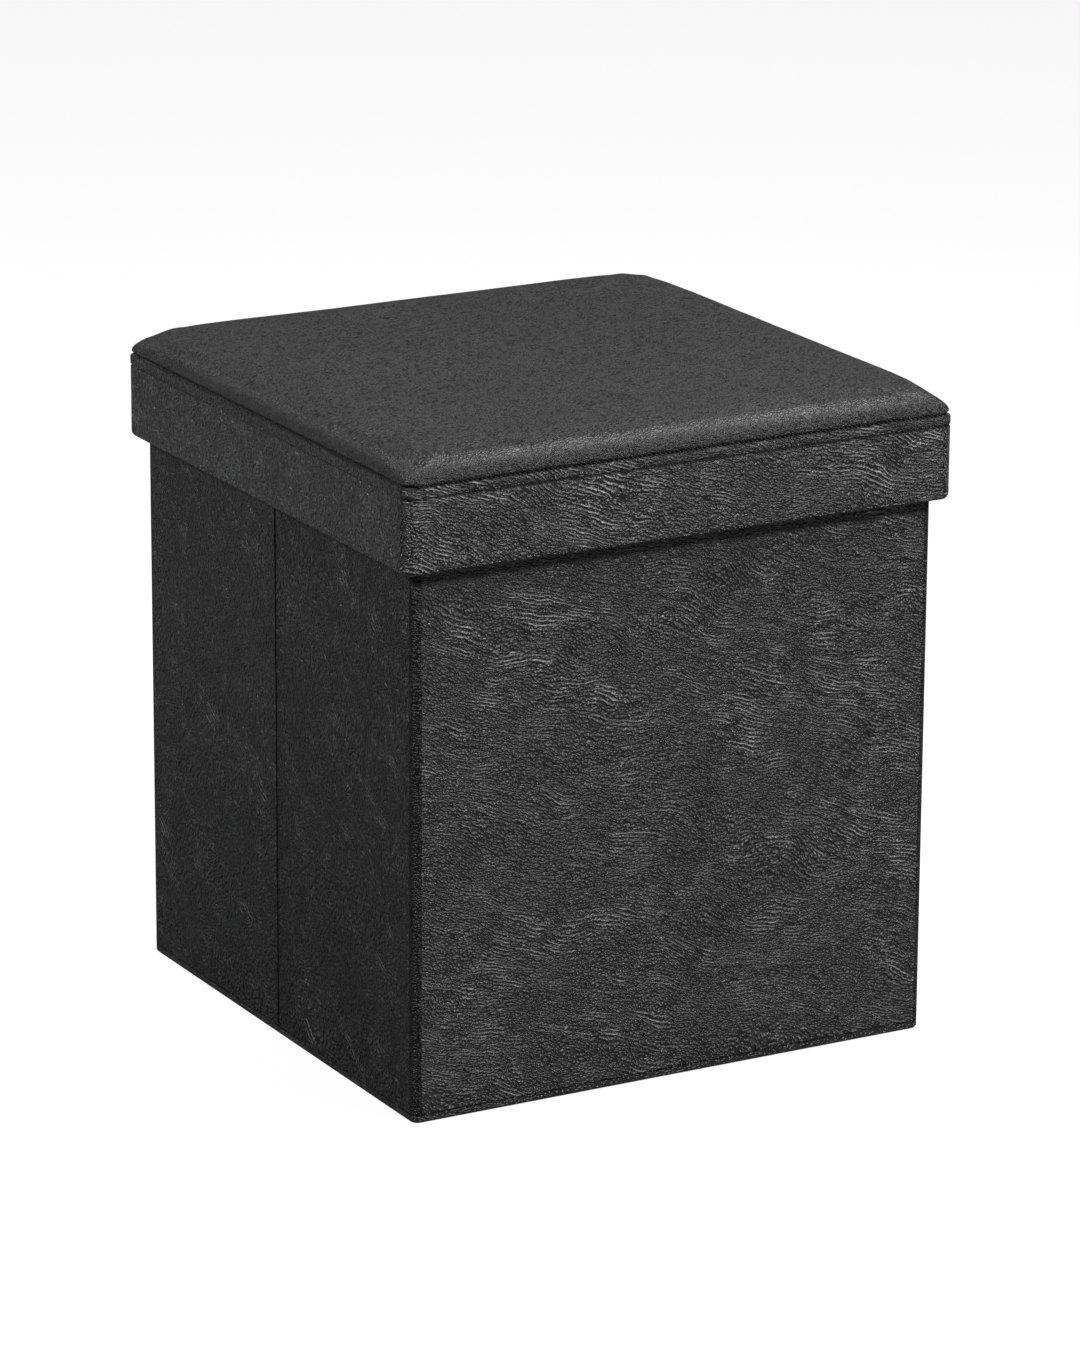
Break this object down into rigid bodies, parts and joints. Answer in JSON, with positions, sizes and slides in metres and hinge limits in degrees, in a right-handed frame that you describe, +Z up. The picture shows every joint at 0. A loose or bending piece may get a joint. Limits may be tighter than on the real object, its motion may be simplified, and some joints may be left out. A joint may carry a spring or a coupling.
{
  "type": "storage ottoman",
  "caption": "Square folding storage ottoman in dark faux leather, with a padded lift-off lid over a lined box whose creased side walls fold inwards.",
  "frame": {"origin": "middle of the underside, on the floor", "axes": "+Z up, -Y out of the front wall, +X to the right seen from the front"},
  "size_m": [0.38, 0.38, 0.418],
  "materials": {
    "faux_leather": "satin grained",
    "lining_fabric": "matt non-woven",
    "hardboard": "raw pressed board",
    "foam": "open-cell foam"
  },
  "bodies": {
    "base_and_back": {"base_cover": "faux_leather", "base_board": "hardboard", "base_lining": "lining_fabric", "back_wall_cover": "faux_leather", "back_wall_board": "hardboard", "back_wall_lining": "lining_fabric", "rear_left_corner": "faux_leather", "rear_right_corner": "faux_leather"},
    "left_rear_half": {"left_rear_cover": "faux_leather", "left_rear_board": "hardboard", "left_rear_lining": "lining_fabric"},
    "left_front_half": {"left_front_cover": "faux_leather", "left_front_board": "hardboard", "left_front_lining": "lining_fabric"},
    "front": {"front_wall_cover": "faux_leather", "front_wall_board": "hardboard", "front_wall_lining": "lining_fabric", "front_left_corner": "faux_leather", "front_right_corner": "faux_leather"},
    "right_rear_half": {"right_rear_cover": "faux_leather", "right_rear_board": "hardboard", "right_rear_lining": "lining_fabric"},
    "right_front_half": {"right_front_cover": "faux_leather", "right_front_board": "hardboard", "right_front_lining": "lining_fabric"},
    "lid": {"lid_top_cover": "faux_leather", "lid_foam": "foam", "lid_board": "hardboard", "lid_lining": "lining_fabric", "skirt_front_cover": "faux_leather", "skirt_front_board": "hardboard", "skirt_right_cover": "faux_leather", "skirt_right_board": "hardboard", "skirt_back_cover": "faux_leather", "skirt_back_board": "hardboard", "skirt_left_cover": "faux_leather", "skirt_left_board": "hardboard"}
  },
  "joints": [
    {"name": "left_rear_fold", "type": "hinge", "parent": "base_and_back", "child": "left_rear_half", "pos_m": [-0.1755, 0.1755, 0.0055], "axis": [0, 0, 1], "range_deg": [0, 90]},
    {"name": "left_crease_fold", "type": "hinge", "parent": "left_rear_half", "child": "left_front_half", "pos_m": [-0.1813, 0, 0.0055], "axis": [0, 0, 1], "range_deg": [-180, 0]},
    {"name": "front_left_fold", "type": "hinge", "parent": "left_front_half", "child": "front", "pos_m": [-0.1755, -0.1755, 0.0055], "axis": [0, 0, 1], "range_deg": [0, 90]},
    {"name": "right_rear_fold", "type": "hinge", "parent": "base_and_back", "child": "right_rear_half", "pos_m": [0.1755, 0.1755, 0.0055], "axis": [0, 0, 1], "range_deg": [-90, 0]},
    {"name": "right_crease_fold", "type": "hinge", "parent": "right_rear_half", "child": "right_front_half", "pos_m": [0.1813, 0, 0.0055], "axis": [0, 0, 1], "range_deg": [0, 180]},
    {"name": "lid_lift", "type": "slide", "parent": "base_and_back", "child": "lid", "axis": [0, 0, 1], "range_m": [0, 0.2]}
  ],
  "couplings": [
    {"joint": "left_crease_fold", "follows": "left_rear_fold", "ratio": -2},
    {"joint": "front_left_fold", "follows": "left_rear_fold", "ratio": 1},
    {"joint": "right_rear_fold", "follows": "left_rear_fold", "ratio": -1},
    {"joint": "right_crease_fold", "follows": "left_rear_fold", "ratio": 2}
  ]
}
